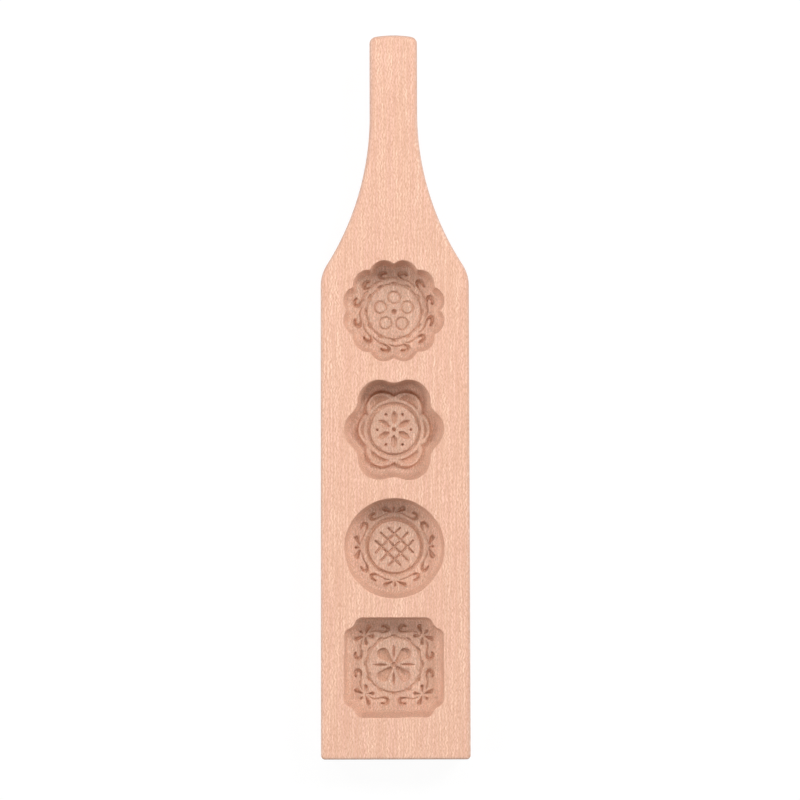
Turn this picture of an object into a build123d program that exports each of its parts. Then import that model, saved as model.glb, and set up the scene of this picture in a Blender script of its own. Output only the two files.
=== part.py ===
from build123d import *
from math import acos, asin, atan2, cos, degrees, radians, sin, sqrt, tan
import os

os.makedirs("parts", exist_ok=True)

# A pastry mold carved from one board of wood: four cavities in a row and a slim handle.
# It lies on its flat back with the carving up: X runs across, Y towards the handle, Z up.
# The origin is on the back, in the middle of the length and of the width.
# Lengths are in millimetres and angles in degrees.

# Board
cavity_reach = 25.1  # from a cavity's middle to its rim, across and along the board
side_wall = 12.4  # wood between a cavity's rim and the side of the board
foot_margin = 20.8  # wood between the last cavity's rim and the foot end
cavity_gap = 9.4  # wood between the rims of two neighbours
cavity_depth = 12.0  # from the face down to a cavity's floor
wood_under_floor = 13.0  # from a cavity's floor down to the back
shoulder_above_cavity = 12.6  # from the top cavity's middle to the start of the shoulder
board_taper = 0.8  # the board is this much narrower at the shoulder than at the foot
centre_line_shift = -0.5  # the cavities and the handle sit this far off the board's middle
foot_corner_radius = 2.0
board_edge_radius = 1.2

# Handle, with the hollow neck and the round shoulder that lead into the board
handle_width = 23.8
grip_length = 38.7  # the straight part of the handle, with its domed end
handle_end_bulge = 1.3
handle_corner_radius = 3.5
handle_edge_radius = 2.5
neck_radius = 140.0
shoulder_radius = 20.0

# Cavity walls
wall_draft = 8.0  # the walls lean outwards by this angle
cove_radius = 2.4  # hollow where the wall meets the floor

# Relief in the cavity floors: a medallion with a ring groove, and an ornament round it
relief_depth = 1.2
rim_land = 0.4  # plain floor between the foot of the cove and the ornament
ring_land = 1.1  # plain ring between the ornament and the ring groove inside it
motif_margin = 2.3  # plain ring between a medallion's edge and its motif
ring_dash_count = 12  # dashes that widen a ring groove outwards
ring_dash_length = 4.2
ring_dash_width = 1.4
ring_dash_distance = 1.0  # from the medallion's edge to the middle of a dash

# Top cavity: twelve scallops, a ring of running scrolls and a blossom
scallop_count = 12
scallop_stand_out = 0.8  # the scallops reach this far past the common cavity reach
scallop_radius = 7.5
scallop_notch_radius = 1.0
running_scroll_band = 6.0  # from the inner to the outer side of the ring of scrolls
scallop_ring_width = 1.4
blossom_petals = 5
blossom_petal_gap = 1.1
blossom_line_width = 1.4
blossom_heart_radius = 1.5

# Second cavity: six petals round a raised, petalled step, with crescents and a rosette
petal_radius = 10.8
petal_notch_radius = 9.0
petal_spread = 7.4  # from the centre line to the middle of an upper or lower petal
step_rise = 1.0  # the step's top stands this far above the floors of the other cavities
valley_depth = 2.8  # from the step's top down to the trough round it
valley_width = 1.3  # flat bottom of the trough beside a side petal of the step
petal_cove_radius = 4.2  # this cavity's wall meets its floor in a wider cove
step_cusp_depth = 1.9  # from the tip of a side petal of the step in to the cusps
step_end_stand_out = 1.95  # the upper and lower petals of the step reach this much further
crescent_border = 0.7  # wood between a crescent and the edge of the step
crescent_thickness = 2.2  # on the side petals
crescent_half_angle = 22.0
petal_ring_width = 2.3
rosette_leaves = 6
rosette_leaf_bow = 49.0  # the angle that a leaf's side turns away from its axis at the tip
rosette_heart_radius = 1.3
rosette_heart_land = 1.0
rosette_dot_radius = 0.9

# Third cavity: round, with bows and a lattice
bow_count = 4
bow_band = 4.5  # from the inner to the outer side of the ring of bows
bow_petal_width = 2.8
bow_petal_angle = 13.7  # from the bow's axis to a petal's round end, about the cavity's middle
bow_petal_spread = 1.6  # from the bow's axis to the root of a petal
bow_petal_root = 1.9  # from the inner side of the band to the root of a petal
bow_drop_length = 2.8
bow_drop_width = 1.7
bow_drop_root = 1.2
round_ring_width = 2.5
lattice_pitch = 4.6
lattice_bar_width = 1.5

# Bottom cavity: square with bitten corners, corner flowers and a quatrefoil
corner_radius = 4.2
corner_bite_radius = 5.0
corner_bite_depth = 6.3  # from the sharp corner in to the bottom of the bite
flower_margin = 6.5  # from the foot of the cove in to the middle of a corner flower
flower_heart_radius = 1.3
flower_petal_length = 4.9
flower_petal_width = 2.6
flower_petal_angle = 66.0
flower_bud_length = 2.6
flower_bud_width = 1.7
flower_leaf_length = 3.8
flower_leaf_width = 2.3
flower_leaf_angle = 141.0
flower_ring_gap = 0.1  # a flower's middle lies this far outside the ring groove's side
square_ring_width = 1.3
quatrefoil_petals = 4
quatrefoil_petal_gap = 5.2
quatrefoil_leaf_bow = 24.0
quatrefoil_heart_radius = 1.6
quatrefoil_heart_land = 0.9

# What follows from the sizes above
cavity_count = 4
thickness = wood_under_floor + cavity_depth
draft_slope = tan(radians(wall_draft))
cove_slope = tan(radians(45 - wall_draft / 2))
cove_run = cove_radius * cove_slope
floor_reach = cavity_reach - cavity_depth * draft_slope - cove_run
ornament_reach = floor_reach - rim_land

board_width = 2 * (cavity_reach + side_wall)
shoulder_width = board_width - board_taper
cavity_pitch = 2 * cavity_reach + cavity_gap
first_cavity = foot_margin + cavity_reach
board_length = first_cavity + (cavity_count - 1) * cavity_pitch + shoulder_above_cavity


def neck_turn(side):
    """The angle that the shoulder and the neck each turn through, on the left (-1) or right (1)."""
    step = shoulder_width / 2 - side * centre_line_shift - handle_width / 2
    return acos(1 - step / (neck_radius + shoulder_radius))


def neck_rise(side):
    return (neck_radius + shoulder_radius) * sin(neck_turn(side))


overall_length = board_length + max(neck_rise(-1), neck_rise(1)) + grip_length
foot_y = -overall_length / 2
shoulder_y = foot_y + board_length
handle_end_y = foot_y + overall_length
grip_corner_y = handle_end_y - handle_end_bulge


def edge_radius(wanted, corner):
    """The radius of an edge that runs round a corner, which has to be a little larger."""
    return min(wanted, 0.9 * corner)


# Board before carving
with BuildPart() as board_blank:
    with BuildSketch() as board_outline:
        with BuildLine():
            Polyline(
                (-board_width / 2, foot_y),
                (board_width / 2, foot_y),
                (shoulder_width / 2, shoulder_y),
                (-shoulder_width / 2, shoulder_y),
                close=True,
            )
        make_face()
        fillet(board_outline.vertices().group_by(Axis.Y)[0], foot_corner_radius)
    extrude(amount=thickness)
    back, *sides, face = board_blank.faces().sort_by(Axis.Z)
    foot_edges = back.edges().sort_by(Axis.Y)[:-1] + face.edges().sort_by(Axis.Y)[:-1]
    fillet(foot_edges, edge_radius(board_edge_radius, foot_corner_radius))


def draw_neck_side(side):
    """One side of the handle: round shoulder, hollow neck and straight grip."""
    turn = neck_turn(side)
    grip_x = centre_line_shift + side * handle_width / 2
    shoulder_middle = Vector(side * (shoulder_width / 2 - shoulder_radius), shoulder_y)
    neck_middle = Vector(grip_x + side * neck_radius, shoulder_y + neck_rise(side))

    def on_shoulder(angle):
        return shoulder_middle + Vector(side * cos(angle), sin(angle)) * shoulder_radius

    def on_neck(angle):
        return neck_middle - Vector(side * cos(angle), sin(angle)) * neck_radius

    ThreePointArc(on_shoulder(0), on_shoulder(turn / 2), on_shoulder(turn))
    ThreePointArc(on_neck(turn), on_neck(turn / 2), on_neck(0))
    Line(on_neck(0), (grip_x, grip_corner_y))


# Handle before its union with the board, which it meets at the shoulder
with BuildPart() as handle_blank:
    with BuildSketch() as handle_outline:
        with BuildLine():
            draw_neck_side(-1)
            draw_neck_side(1)
            Line((-shoulder_width / 2, shoulder_y), (shoulder_width / 2, shoulder_y))
            ThreePointArc(
                (centre_line_shift - handle_width / 2, grip_corner_y),
                (centre_line_shift, handle_end_y),
                (centre_line_shift + handle_width / 2, grip_corner_y),
            )
        make_face()
        fillet(handle_outline.vertices().group_by(Axis.Y)[-1], handle_corner_radius)
    extrude(amount=thickness)
    back, *sides, face = handle_blank.faces().sort_by(Axis.Z)
    grip_edges = back.edges().sort_by(Axis.Y)[1:] + face.edges().sort_by(Axis.Y)[1:]
    fillet(grip_edges, edge_radius(handle_edge_radius, handle_corner_radius))


def polar(radius, angle):
    return Vector(radius * cos(radians(angle)), radius * sin(radians(angle)))


def between(inner, outer, share):
    return inner + (outer - inner) * share


def on_the_way(start, end, distance):
    """The point at a distance from start, on the way to end."""
    return start + (end - start).normalized() * distance


# Outlines of the four cavities, each drawn inside its rim by inset
def notch_middle(first, second, reach):
    """The middle of the round notch outside two lobes that follow each other anticlockwise."""
    apart = second - first
    outwards = apart.normalized().rotate(Axis.Z, -90)
    return first + apart * 0.5 + outwards * sqrt(reach**2 - (apart.length / 2) ** 2)


def draw_lobes(middles, lobe_radius, notch_radius, inset):
    """A closed ring of round lobes joined by round notches."""
    following = middles[1:] + middles[:1]
    reach = lobe_radius + notch_radius
    notches = [notch_middle(this, other, reach) for this, other in zip(middles, following)]
    round_lobe = lobe_radius - inset
    round_notch = notch_radius + inset
    with BuildLine() as outline:
        for index, middle in enumerate(middles):
            notch = notches[index]
            lobe_start = on_the_way(middle, notches[index - 1], round_lobe)
            lobe_end = on_the_way(middle, notch, round_lobe)
            notch_end = on_the_way(notch, following[index], round_notch)
            lobe_tip = middle + (lobe_start + lobe_end - middle * 2).normalized() * round_lobe
            notch_floor = notch + (lobe_end + notch_end - notch * 2).normalized() * round_notch
            ThreePointArc(lobe_start, lobe_tip, lobe_end)
            ThreePointArc(lobe_end, notch_floor, notch_end)
    make_face(outline.edges())


def draw_scallops(inset):
    pitch = 360 / scallop_count
    distance = cavity_reach + scallop_stand_out - scallop_radius
    middles = [polar(distance, (index + 0.5) * pitch) for index in range(scallop_count)]
    draw_lobes(middles, scallop_radius, scallop_notch_radius, inset)


def draw_petals(inset):
    distance = cavity_reach - petal_radius
    upper = [Vector(petal_spread, distance), Vector(-petal_spread, distance)]
    lower = [Vector(-petal_spread, -distance), Vector(petal_spread, -distance)]
    middles = [Vector(distance, 0), *upper, Vector(-distance, 0), *lower]
    draw_lobes(middles, petal_radius, petal_notch_radius, inset)


def draw_circle(inset):
    Circle(cavity_reach - inset)


def draw_bitten_square(inset):
    """A square with two round corners instead of each sharp one, and a hollow bite between them."""
    bite_at = cavity_reach - (corner_bite_depth - corner_bite_radius) / sqrt(2)
    across = cavity_reach - corner_radius
    along = bite_at - sqrt((corner_radius + corner_bite_radius) ** 2 - (bite_at - across) ** 2)
    round_corner = corner_radius - inset
    with BuildLine() as outline:
        for angle in (0, 90, 180, 270):
            side_start = Vector(across, -along).rotate(Axis.Z, angle)
            first = Vector(across, along).rotate(Axis.Z, angle)
            second = Vector(along, across).rotate(Axis.Z, angle)
            bite = Vector(bite_at, bite_at).rotate(Axis.Z, angle)
            outwards = polar(round_corner, angle)
            onwards = polar(round_corner, angle + 90)
            bite_start = on_the_way(first, bite, round_corner)
            bite_end = on_the_way(second, bite, round_corner)
            first_tip = first + (outwards + bite_start - first).normalized() * round_corner
            second_tip = second + (onwards + bite_end - second).normalized() * round_corner
            bite_floor = on_the_way(bite, Vector(0, 0), corner_bite_radius + inset)
            Line(side_start + outwards, first + outwards)
            ThreePointArc(first + outwards, first_tip, bite_start)
            ThreePointArc(bite_start, bite_floor, bite_end)
            ThreePointArc(bite_end, second_tip, second + onwards)
    make_face(outline.edges())


def cavity_body(draw, depth, cove, tightest):
    """The plain hollow of a cavity under the plane Z = 0, whose tightest round corner is given."""
    lean = depth * draft_slope
    with BuildPart() as body:
        with BuildSketch():
            draw(0)
        with BuildSketch(Plane.XY.offset(-depth)):
            draw(lean)
        loft(ruled=True)
        fillet(body.faces().sort_by(Axis.Z)[0].edges(), edge_radius(cove, tightest - lean))
    return body.part


# Shapes that the ornaments are made of
def draw_drop(length, width):
    """A drop that grows along X from a point at the origin to a round end."""
    radius = width / 2
    middle = length - radius
    spread = asin(radius / middle)
    left = Vector(middle - radius * sin(spread), radius * cos(spread))
    right = Vector(left.X, -left.Y)
    with BuildLine() as outline:
        Line((0, 0), left)
        ThreePointArc(left, (length, 0), right)
        Line(right, (0, 0))
    make_face(outline.edges())


def draw_leaf(start, end, bow):
    """A leaf along X, pointed at both ends, whose sides leave its axis at the angle bow."""
    middle = (start + end) / 2
    half_width = (end - start) / 2 * tan(radians(bow / 2))
    with BuildLine() as outline:
        ThreePointArc((start, 0), (middle, half_width), (end, 0))
        ThreePointArc((end, 0), (middle, -half_width), (start, 0))
    make_face(outline.edges())


def draw_scroll(points, widths):
    """A curling stroke along the points, with round ends and a width at each point."""
    steps = [points[1] - points[0]]
    steps += [after - before for before, after in zip(points, points[2:])]
    steps += [points[-1] - points[-2]]
    ahead = [step.normalized() for step in steps]
    aside = [step.rotate(Axis.Z, 90) for step in ahead]
    left = [point + side * (width / 2) for point, side, width in zip(points, aside, widths)]
    right = [point - side * (width / 2) for point, side, width in zip(points, aside, widths)]
    with BuildLine() as outline:
        Spline(*left)
        ThreePointArc(left[-1], points[-1] + ahead[-1] * (widths[-1] / 2), right[-1])
        Spline(*reversed(right))
        ThreePointArc(right[0], points[0] - ahead[0] * (widths[0] / 2), left[0])
    make_face(outline.edges())


def draw_polar_scroll(inner, outer, pitch, stations):
    """A scroll through stations, which give a share of the pitch, a share of the band and a width."""
    points = [polar(between(inner, outer, out), turn * pitch) for turn, out, width in stations]
    draw_scroll(points, [width for turn, out, width in stations])


def draw_ring(radius, width):
    """The plain groove round a medallion."""
    Circle(radius + width)
    Circle(radius, mode=Mode.SUBTRACT)


def draw_dashed_ring(radius, width):
    """The groove round a medallion, widened by a ring of dashes."""
    Circle(radius + width)
    with PolarLocations(radius + ring_dash_distance, ring_dash_count):
        Ellipse(ring_dash_width / 2, ring_dash_length / 2)
    Circle(radius, mode=Mode.SUBTRACT)


def ring_radius_in_reach(reach, count, gap):
    """The radius of each of count round shapes that stand in a ring inside reach, a gap apart."""
    half = sin(radians(180 / count))
    return (reach * half - gap / 2) / (1 + half)


floor_plane = Plane.XY.offset(-cavity_depth)


# Top cavity
scroll_outer = ornament_reach + scallop_stand_out
scroll_inner = scroll_outer - running_scroll_band
scallop_medallion = scroll_inner - ring_land - scallop_ring_width
blossom_reach = scallop_medallion - motif_margin
blossom_petal_radius = ring_radius_in_reach(blossom_reach, blossom_petals, blossom_petal_gap)

with BuildSketch() as running_scroll:
    draw_polar_scroll(
        scroll_inner,
        scroll_outer,
        360 / scallop_count,
        [
            (-0.90, 0.10, 0.5),
            (-0.66, 0.23, 0.8),
            (-0.42, 0.29, 0.9),
            (-0.18, 0.28, 1.0),
            (0.06, 0.31, 1.2),
            (0.20, 0.44, 1.5),
            (0.25, 0.62, 1.8),
            (0.16, 0.80, 1.9),
            (-0.03, 0.85, 1.6),
            (-0.20, 0.76, 1.2),
        ],
    )

with BuildPart() as scallop_cavity:
    add(cavity_body(draw_scallops, cavity_depth, cove_radius, scallop_radius))
    with BuildSketch(floor_plane):
        draw_dashed_ring(scallop_medallion, scallop_ring_width)
        with PolarLocations(0, scallop_count, start_angle=180 / scallop_count):
            add(running_scroll.sketch)
        with PolarLocations(blossom_reach - blossom_petal_radius, blossom_petals, start_angle=90):
            Circle(blossom_petal_radius)
            Circle(blossom_petal_radius - blossom_line_width, mode=Mode.SUBTRACT)
        Circle(blossom_heart_radius)
    extrude(amount=-relief_depth)


# Second cavity
step_petals = 6
step_pitch = 360 / step_petals
step_top_depth = cavity_depth - step_rise
petal_floor_depth = step_top_depth + valley_depth
petal_floor_reach = cavity_reach - petal_floor_depth * draft_slope - petal_cove_radius * cove_slope
step_side_tip = petal_floor_reach - valley_width
step_cusp = step_side_tip - step_cusp_depth
crescent_inner = step_side_tip - crescent_border - crescent_thickness
petal_medallion = crescent_inner - ring_land - petal_ring_width
rosette_reach = petal_medallion - motif_margin
rosette_dot_ring = rosette_reach - rosette_dot_radius


def step_tip(index):
    """How far a petal of the step reaches: the two at the sides less than the other four."""
    at_the_side = index % (step_petals // 2) == 0
    return step_side_tip if at_the_side else step_side_tip + step_end_stand_out


def draw_crescent(tip, angle):
    start = polar(crescent_inner, angle - crescent_half_angle)
    end = polar(crescent_inner, angle + crescent_half_angle)
    with BuildLine() as outline:
        ThreePointArc(start, polar(tip - crescent_border, angle), end)
        ThreePointArc(end, polar(crescent_inner, angle), start)
    make_face(outline.edges())


with BuildSketch() as rosette_leaf:
    draw_leaf(rosette_heart_radius + rosette_heart_land, rosette_reach, rosette_leaf_bow)

with BuildPart() as petal_cavity:
    add(cavity_body(draw_petals, petal_floor_depth, petal_cove_radius, petal_radius))
    with BuildSketch(Plane.XY.offset(-petal_floor_depth)):
        with BuildLine():
            for index in range(step_petals):
                angle = index * step_pitch
                cusp_before = polar(step_cusp, angle - step_pitch / 2)
                cusp_after = polar(step_cusp, angle + step_pitch / 2)
                ThreePointArc(cusp_before, polar(step_tip(index), angle), cusp_after)
        make_face()
    extrude(amount=valley_depth, mode=Mode.SUBTRACT)
    with BuildSketch(Plane.XY.offset(-step_top_depth)):
        draw_ring(petal_medallion, petal_ring_width)
        for index in range(step_petals):
            draw_crescent(step_tip(index), index * step_pitch)
        with PolarLocations(0, rosette_leaves, start_angle=90):
            add(rosette_leaf.sketch)
        with PolarLocations(rosette_dot_ring, rosette_leaves, start_angle=90 + 180 / rosette_leaves):
            Circle(rosette_dot_radius)
        Circle(rosette_heart_radius)
    extrude(amount=-relief_depth)


# Third cavity
bow_inner = ornament_reach - bow_band
round_medallion = bow_inner - ring_land - round_ring_width
lattice_reach = round_medallion - motif_margin
lattice_side_bars = int((lattice_reach - lattice_bar_width) / lattice_pitch)

bow_petal_start = Vector(bow_inner + bow_petal_root, bow_petal_spread)
bow_petal_end = polar(ornament_reach - bow_petal_width / 2, bow_petal_angle)
bow_petal_axis = bow_petal_end - bow_petal_start
bow_petal_turn = degrees(atan2(bow_petal_axis.Y, bow_petal_axis.X))

with BuildSketch() as bow_petal:
    draw_drop(bow_petal_axis.length + bow_petal_width / 2, bow_petal_width)

with BuildSketch() as bow_drop:
    draw_drop(bow_drop_length, bow_drop_width)

with BuildSketch() as bow:
    with Locations((bow_inner + bow_drop_root, 0)):
        add(bow_drop.sketch)
    with Locations(Location(bow_petal_start, bow_petal_turn)):
        add(bow_petal.sketch)
    draw_polar_scroll(
        bow_inner,
        ornament_reach,
        360 / bow_count,
        [
            (0.08, 0.17, 0.6),
            (0.14, 0.14, 0.8),
            (0.21, 0.10, 0.9),
            (0.29, 0.06, 1.0),
            (0.36, 0.09, 1.2),
            (0.42, 0.24, 1.5),
            (0.45, 0.50, 1.6),
            (0.425, 0.74, 1.5),
            (0.37, 0.84, 1.2),
            (0.32, 0.77, 1.2),
        ],
    )
    mirror(about=Plane.XZ)

with BuildPart() as round_cavity:
    add(cavity_body(draw_circle, cavity_depth, cove_radius, cavity_reach))
    with BuildSketch(floor_plane):
        draw_ring(round_medallion, round_ring_width)
        with PolarLocations(0, bow_count, start_angle=90):
            add(bow.sketch)
        for index in range(-lattice_side_bars, lattice_side_bars + 1):
            aside = index * lattice_pitch
            length = 2 * sqrt(lattice_reach**2 - aside**2)
            for slant in (45, -45):
                with Locations(Location(polar(aside, slant + 90), slant)):
                    SlotOverall(length, lattice_bar_width)
    extrude(amount=-relief_depth)


# Bottom cavity
flower_reach = floor_reach - flower_margin
square_medallion = flower_reach - flower_ring_gap - square_ring_width
quatrefoil_reach = square_medallion - motif_margin
quatrefoil_root = quatrefoil_heart_radius + quatrefoil_heart_land
quatrefoil_round = ring_radius_in_reach(quatrefoil_reach, quatrefoil_petals, quatrefoil_petal_gap)

with BuildSketch() as flower_petal:
    draw_drop(flower_petal_length, flower_petal_width)

with BuildSketch() as flower_bud:
    draw_drop(flower_bud_length, flower_bud_width)

with BuildSketch() as flower_leaf:
    draw_drop(flower_leaf_length, flower_leaf_width)

with BuildSketch() as corner_flower:
    for drop, angle in (
        (flower_bud, 0),
        (flower_petal, flower_petal_angle),
        (flower_petal, -flower_petal_angle),
        (flower_leaf, flower_leaf_angle),
        (flower_leaf, -flower_leaf_angle),
    ):
        with Locations(Location(polar(flower_heart_radius, angle), angle)):
            add(drop.sketch)

with BuildSketch() as side_scroll:
    # Shares of the way from mid-side to the flower, of the way out, and of the flower's reach
    stations = [
        (0.85, 0.23, 0.034),
        (0.74, 0.35, 0.054),
        (0.63, 0.40, 0.067),
        (0.50, 0.37, 0.067),
        (0.365, 0.30, 0.074),
        (0.245, 0.36, 0.094),
        (0.195, 0.57, 0.115),
        (0.24, 0.80, 0.108),
        (0.335, 0.90, 0.088),
        (0.425, 0.85, 0.094),
    ]
    draw_scroll(
        [
            Vector(between(flower_reach, ornament_reach, out), along * flower_reach)
            for along, out, width in stations
        ],
        [width * flower_reach for along, out, width in stations],
    )
    mirror(about=Plane.XZ)

with BuildSketch() as quatrefoil_petal:
    draw_drop(quatrefoil_reach - quatrefoil_root, 2 * quatrefoil_round)

with BuildSketch() as quatrefoil_leaf:
    draw_leaf(quatrefoil_root, quatrefoil_reach, quatrefoil_leaf_bow)

with BuildPart() as square_cavity:
    add(cavity_body(draw_bitten_square, cavity_depth, cove_radius, corner_radius))
    with BuildSketch(floor_plane):
        draw_dashed_ring(square_medallion, square_ring_width)
        with PolarLocations(0, 4):
            add(side_scroll.sketch)
        with PolarLocations(flower_reach * sqrt(2), 4, start_angle=45):
            add(corner_flower.sketch)
        with PolarLocations(quatrefoil_root, quatrefoil_petals, start_angle=45):
            add(quatrefoil_petal.sketch)
        with PolarLocations(0, quatrefoil_petals):
            add(quatrefoil_leaf.sketch)
        Circle(quatrefoil_heart_radius)
    extrude(amount=-relief_depth)


# The board with its handle and its four cavities is one solid
with BuildPart() as mold_board:
    add(board_blank.part)
    add(handle_blank.part)
    for index, cavity in enumerate((square_cavity, round_cavity, petal_cavity, scallop_cavity)):
        cavity_y = foot_y + first_cavity + index * cavity_pitch
        with Locations((centre_line_shift, cavity_y, thickness)):
            add(cavity.part, mode=Mode.SUBTRACT)

mold_board.part.label = "mold_board"
export_step(mold_board.part, "parts/mold_board.step")
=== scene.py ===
from math import acos, atan2, ceil, cos, pi, radians, sin, sqrt, tan

import bpy
import numpy as np
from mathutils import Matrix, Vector
from mathutils.geometry import delaunay_2d_cdt


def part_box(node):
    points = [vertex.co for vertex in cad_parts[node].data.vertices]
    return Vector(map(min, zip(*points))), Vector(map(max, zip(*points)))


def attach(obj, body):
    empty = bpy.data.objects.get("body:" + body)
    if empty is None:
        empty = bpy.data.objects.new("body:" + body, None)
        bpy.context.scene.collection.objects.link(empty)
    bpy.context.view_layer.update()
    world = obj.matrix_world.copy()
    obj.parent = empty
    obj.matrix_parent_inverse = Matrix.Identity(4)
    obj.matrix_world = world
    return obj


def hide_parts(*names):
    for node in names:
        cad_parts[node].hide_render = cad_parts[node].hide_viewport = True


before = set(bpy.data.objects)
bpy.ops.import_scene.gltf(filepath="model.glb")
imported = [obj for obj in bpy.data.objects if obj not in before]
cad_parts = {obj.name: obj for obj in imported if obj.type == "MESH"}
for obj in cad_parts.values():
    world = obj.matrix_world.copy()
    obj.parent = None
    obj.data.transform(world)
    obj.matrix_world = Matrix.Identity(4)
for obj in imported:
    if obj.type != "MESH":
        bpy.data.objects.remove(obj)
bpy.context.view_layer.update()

# A wooden pastry mold on its back: X across, Y towards the handle, Z up out of the carving.
# Shapes are drawn in millimetres and made in metres.
MM = 0.001
board_low, board_high = (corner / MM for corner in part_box("mold_board"))
rng = np.random.default_rng(17)  # for the unevenness of the repeated motifs
first_cavity_seed = 31  # for that of the carved lines, one up for each cavity

# Board and handle
cavity_reach = 25.1  # from a cavity's middle to its rim, across and along the board
side_wall = 12.4  # wood between a cavity's rim and the side of the board
foot_margin = 20.8  # wood between the last cavity's rim and the foot end
cavity_gap = 9.4  # wood between the rims of two neighbours
cavity_depth = 12.0
shoulder_above_cavity = 12.6  # from the top cavity's middle to the start of the shoulder
board_taper = 0.8  # the board is this much narrower at the shoulder than at the foot
centre_line_shift = -0.5  # the cavities and the handle sit this far off the board's middle
square_slip = (-0.35, 0.2)  # how far the cutter missed this cavity's place
round_slip = (0.0, 0.35)
foot_corner_radius = 2.0
board_edge_radius = 1.2
handle_width = 23.8
handle_end_bulge = 1.3  # the middle of the end stands out this far
handle_corner_radius = 3.5
handle_edge_radius = 2.5
edge_change_start = 4.0  # the edges start to grow rounder this far before the shoulder
edge_change_length = 16.0
neck_radius = 140.0
shoulder_radius = 20.0

# Cavity walls
wall_draft = radians(8.0)
cove_radius = 2.4
rim_softness = 0.4  # radius that sanding leaves on a cavity's rim

# Marks of the carving, unevenness of hand work, and how far painted shade reaches
pocket_depth = 1.9
pocket_run = 0.9  # how far in from its edge a pocket reaches its full depth
depth_waver = 0.1  # how unevenly deep the pockets are, as a share of their depth
depth_waver_way = (0.9, 0.5)  # radians that the wavering turns for each millimetre
gentle = 0.45  # how steep the far side of a gouged groove is, as a share of the near side
step_run = 0.45  # how far out from its edge the raised step falls to the trough
wobble = 0.07  # how far a carved line strays
wobble_lengths = (4.0, 7.0, 12.0)  # of the waves in which it strays
wall_wobble = 0.05  # how far each wave of a cavity's wall strays
wall_waves = (3, 5, 8, 11)  # waves round a cavity
motif_turn = radians(1.0)  # how far a repeated motif may be turned, one way or the other
motif_slip = 0.12  # and moved
side_shade_reach = 1.7  # how far the sides' painted shade reaches in over the edge
trough_shade_reach = 1.6  # and the trough's painted shade, from the foot of the raised step

# Mesh spacing
outline_spacing = 0.5  # along the cavities' rims and the board's corners
long_side_spacing = 4.0
grip_spacing = 2.0
edge_rows = 7  # round each outer edge
rim_rows = 5  # round a cavity's softened rim
wall_row_shares = (0.34, 0.67)  # rows on a wall, as shares of the way down it
cove_row_spacing = 0.31
stray_start = 0.3  # a wall strays from this far down
flat_strip = 0.5  # of the face, beside its edges
grid_step = 0.13  # of the grid on which the relief's lines are found
grid_margin = 1.0  # the grid reaches this far past the floor
line_spacing = 0.21  # along the relief's lines
pocket_levels = (0.0, -0.13, -0.35, -0.7, 0.16, -1.1)  # lines are drawn this far outside an edge
step_levels = (0.0, step_run, 0.12, 0.27, -0.16)
pocket_spacing = 0.5
floor_spacing = 1.5
face_spacing = 7.0
line_room = 0.9  # how near an earlier point may be, as a share of the spacing: on lines,
pocket_room = 0.75  # in the pockets,
floor_room = 0.6  # on the floor between them,
edge_room = 0.4  # on the face beside the board's edge,
rim_room = 0.3  # and beside a cavity's rim
foot_room = 0.01  # in millimetres: so little that all points of a cove's foot stay
foot_clearance = 0.3  # no other point of the floor comes nearer to the foot of the cove
merging_distance = 1e-7  # points nearer than this are one
far_off = 9.0  # stands for any distance that is too long to matter
stroke_surroundings = 1.0  # how near a point is before its distance to a stroke matters

# What follows from the sizes above
thickness = board_high.z - board_low.z
foot_y = board_low.y
handle_end_y = board_high.y
draft_slope = tan(wall_draft)
cove_slope = tan(pi / 4 - wall_draft / 2)
cove_run = cove_radius * cove_slope
floor_reach = cavity_reach - cavity_depth * draft_slope - cove_run
rim_land = 0.4  # plain ring between the foot of the cove and the ornament
ornament_reach = floor_reach - rim_land
board_width = 2 * (cavity_reach + side_wall)
shoulder_width = board_width - board_taper
cavity_pitch = 2 * cavity_reach + cavity_gap
first_cavity = foot_margin + cavity_reach
shoulder_y = foot_y + first_cavity + 3 * cavity_pitch + shoulder_above_cavity


# Lines and distances. Points are rows of an array, and a signed distance is negative inside.
def ray(angle):
    return np.array([cos(angle), sin(angle)])


def arc(middle, radius, start, end, hollow=False, widest=0.0):
    """Points along an arc without its last, and the way into the wood or hollow that it bounds."""
    count = max(3, ceil(abs(end - start) * max(radius, widest) / outline_spacing))
    angles = np.linspace(start, end, count, endpoint=False)
    rays = np.stack([np.cos(angles), np.sin(angles)], axis=1)
    return middle + radius * rays, rays if hollow else -rays


def line(start, end, spacing=outline_spacing):
    """Points along a line without its last, and the way into the wood or hollow on its left."""
    count = max(1, ceil(np.linalg.norm(end - start) / spacing))
    share = np.linspace(0, 1, count, endpoint=False)[:, None]
    along = (end - start) / np.linalg.norm(end - start)
    inwards = np.tile([-along[1], along[0]], (count, 1))
    return start + (end - start) * share, inwards


def joined(pieces):
    return tuple(np.concatenate(part) for part in zip(*pieces))


def direction(start, end):
    return atan2(end[1] - start[1], end[0] - start[0])


def after(angle, start):
    """The same angle, but not before start."""
    while angle < start:
        angle += 2 * pi
    return angle


def stroke(at, path, widths):
    """Signed distance to a line of changing width."""
    nearest = np.full(len(at), far_off)
    margin = max(widths) / 2 + stroke_surroundings
    low = path.min(axis=0) - margin
    high = path.max(axis=0) + margin
    close = np.all((at > low) & (at < high), axis=1)
    some = at[close]
    found = nearest[close]
    for a, b, width_a, width_b in zip(path, path[1:], widths, widths[1:]):
        along = b - a
        share = np.clip((some - a) @ along / (along @ along), 0, 1)
        gap = np.linalg.norm(some - a - share[:, None] * along, axis=1)
        found = np.minimum(found, gap - (width_a + (width_b - width_a) * share) / 2)
    nearest[close] = found
    return nearest


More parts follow.
